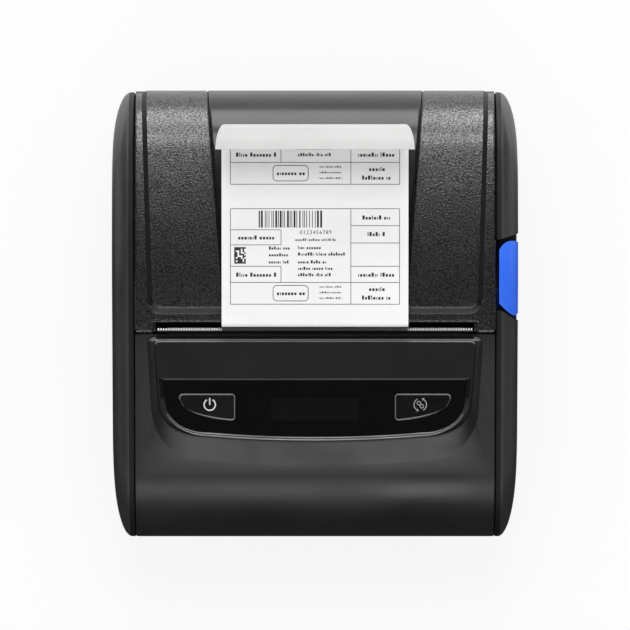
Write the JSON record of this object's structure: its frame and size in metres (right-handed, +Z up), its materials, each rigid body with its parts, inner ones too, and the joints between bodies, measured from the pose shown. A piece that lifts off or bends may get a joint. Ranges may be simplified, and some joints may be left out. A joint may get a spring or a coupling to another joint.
{
  "type": "portable label printer",
  "caption": "Pocket direct-thermal label printer lying on its back: lid over the roll bay with a smoked window, side bumpers, sloped key panel and a label strip curling from the slot.",
  "frame": {"origin": "on the resting plane, below the middle of the body", "axes": "+X to the right, +Y towards the lid's hinge, +Z up out of the key panel"},
  "size_m": [0.108, 0.12, 0.0781],
  "materials": {
    "shell": "black, fine sparkle texture on the lid",
    "side_panel": "satin charcoal",
    "window": "smoked, polished",
    "lens": "piano black",
    "trim": "silver paint",
    "keys": "gloss black",
    "release_blue": "satin blue",
    "steel": "plain",
    "aluminium": "plain",
    "frame_plastic": "matt black",
    "battery_case": "matt black",
    "rubber": "matt",
    "gear_plastic": "natural acetal",
    "circuit_board": "green solder mask",
    "ceramic": "glazed, cream",
    "paper": "matt white label stock",
    "card": "grey-brown card",
    "brass": "plain"
  },
  "bodies": {
    "base": {"base_housing": "shell", "left_side_panel": "side_panel", "right_side_panel": "side_panel", "front_cover": "shell", "chassis": "frame_plastic", "panel_lens": "lens", "panel_trim": "trim", "display_module": "circuit_board", "main_board": "circuit_board", "key_mat": "rubber", "tear_bar": "steel", "motor_body": "steel", "hinge_rod": "steel", "lid_spring": "steel", "media_sensor": "circuit_board", "battery_contacts": "brass", "usb_socket": "steel", "foot_front_left": "rubber", "foot_front_right": "rubber", "foot_rear_left": "rubber", "foot_rear_right": "rubber", "screw_front_left": "steel", "screw_front_right": "steel", "screw_rear_left": "steel", "screw_rear_right": "steel", "idler_axle": "steel", "head_pivot_rod": "steel", "head_spring_left": "steel", "head_spring_right": "steel", "latch_spring": "steel", "label_web": "paper"},
    "lid": {"lid_cover": "shell", "lid_window": "window", "lid_frame": "frame_plastic", "platen_bush_left": "brass", "platen_bush_right": "brass", "label_strip": "paper"},
    "platen": {"platen_roller": "rubber", "platen_shaft": "steel", "platen_gear": "gear_plastic"},
    "idler": {"idler_gear": "gear_plastic"},
    "motor_rotor": {"motor_pinion": "brass"},
    "printhead": {"head_heatsink": "aluminium", "head_ceramic": "ceramic"},
    "latch": {"latch_shaft": "steel", "latch_hook_left": "steel", "latch_hook_right": "steel"},
    "release": {"release_button": "release_blue"},
    "power_button": {"power_key": "keys"},
    "feed_button": {"feed_key": "keys"},
    "roll": {"label_roll": "paper", "roll_core": "card"},
    "guide_left": {"media_guide_left": "frame_plastic"},
    "guide_right": {"media_guide_right": "frame_plastic"},
    "guide_gear": {"guide_pinion": "gear_plastic"},
    "battery": {"battery_pack": "battery_case"},
    "battery_catch": {"battery_latch": "shell"},
    "port_flap": {"port_cover": "rubber"}
  },
  "joints": [
    {"name": "lid_open", "type": "hinge", "parent": "base", "child": "lid", "pos_m": [0, 0.0555, 0.033], "axis": [-1, 0, 0], "range_deg": [0, 85]},
    {"name": "platen_spin", "type": "hinge", "parent": "lid", "child": "platen", "pos_m": [0, 0.0032, 0.045], "axis": [1, 0, 0], "continuous": true},
    {"name": "idler_spin", "type": "hinge", "parent": "base", "child": "idler", "pos_m": [0, -0.01011, 0.03783], "axis": [1, 0, 0], "continuous": true},
    {"name": "motor_spin", "type": "hinge", "parent": "base", "child": "motor_rotor", "pos_m": [0, -0.01989, 0.0297], "axis": [1, 0, 0], "continuous": true},
    {"name": "roll_spin", "type": "hinge", "parent": "base", "child": "roll", "pos_m": [0, 0.0265, 0.0315], "axis": [1, 0, 0], "continuous": true},
    {"name": "head_tilt", "type": "hinge", "parent": "base", "child": "printhead", "pos_m": [0, -0.0055, 0.034], "axis": [1, 0, 0], "range_deg": [0, 1.5], "stiffness_Nm_per_rad": 0.3, "springref_deg": -5.73},
    {"name": "release_press", "type": "slide", "parent": "base", "child": "release", "axis": [0, 0, -1], "range_m": [0, 0.002], "stiffness_N_per_m": 1500, "springref_m": -0.001},
    {"name": "latch_swing", "type": "hinge", "parent": "base", "child": "latch", "pos_m": [0, -0.002, 0.025], "axis": [1, 0, 0], "range_deg": [0, 8.6]},
    {"name": "power_press", "type": "slide", "parent": "base", "child": "power_button", "axis": [0, 0.1736, -0.9848], "range_m": [0, 0.0006], "stiffness_N_per_m": 2000, "springref_m": -0.0003},
    {"name": "feed_press", "type": "slide", "parent": "base", "child": "feed_button", "axis": [0, 0.1736, -0.9848], "range_m": [0, 0.0006], "stiffness_N_per_m": 2000, "springref_m": -0.0003},
    {"name": "guide_left_slide", "type": "slide", "parent": "base", "child": "guide_left", "axis": [-1, 0, 0], "range_m": [0, 0.013], "stiffness_N_per_m": 50, "springref_m": -0.005},
    {"name": "guide_right_slide", "type": "slide", "parent": "base", "child": "guide_right", "axis": [1, 0, 0], "range_m": [0, 0.013]},
    {"name": "guide_gear_spin", "type": "hinge", "parent": "base", "child": "guide_gear", "pos_m": [0, 0.0265, 0.008], "axis": [0, 0, -1], "range_deg": [0, 156]},
    {"name": "battery_slide", "type": "slide", "parent": "base", "child": "battery", "axis": [0, 0, -1], "range_m": [0, 0.02]},
    {"name": "battery_latch_slide", "type": "slide", "parent": "base", "child": "battery_catch", "axis": [0, 1, 0], "range_m": [0, 0.002], "stiffness_N_per_m": 500, "springref_m": -0.001},
    {"name": "port_flap_open", "type": "hinge", "parent": "base", "child": "port_flap", "pos_m": [-0.053, -0.031, 0.0323], "axis": [0, -1, 0], "range_deg": [0, 100]}
  ],
  "couplings": [
    {"joint": "idler_spin", "follows": "platen_spin", "ratio": -0.66667},
    {"joint": "motor_spin", "follows": "platen_spin", "ratio": 1.6667},
    {"joint": "roll_spin", "follows": "platen_spin", "ratio": 0.30769},
    {"joint": "latch_swing", "follows": "release_press", "rad_per_m": 75},
    {"joint": "guide_right_slide", "follows": "guide_left_slide", "ratio": 1},
    {"joint": "guide_gear_spin", "follows": "guide_left_slide", "rad_per_m": 208.33}
  ]
}
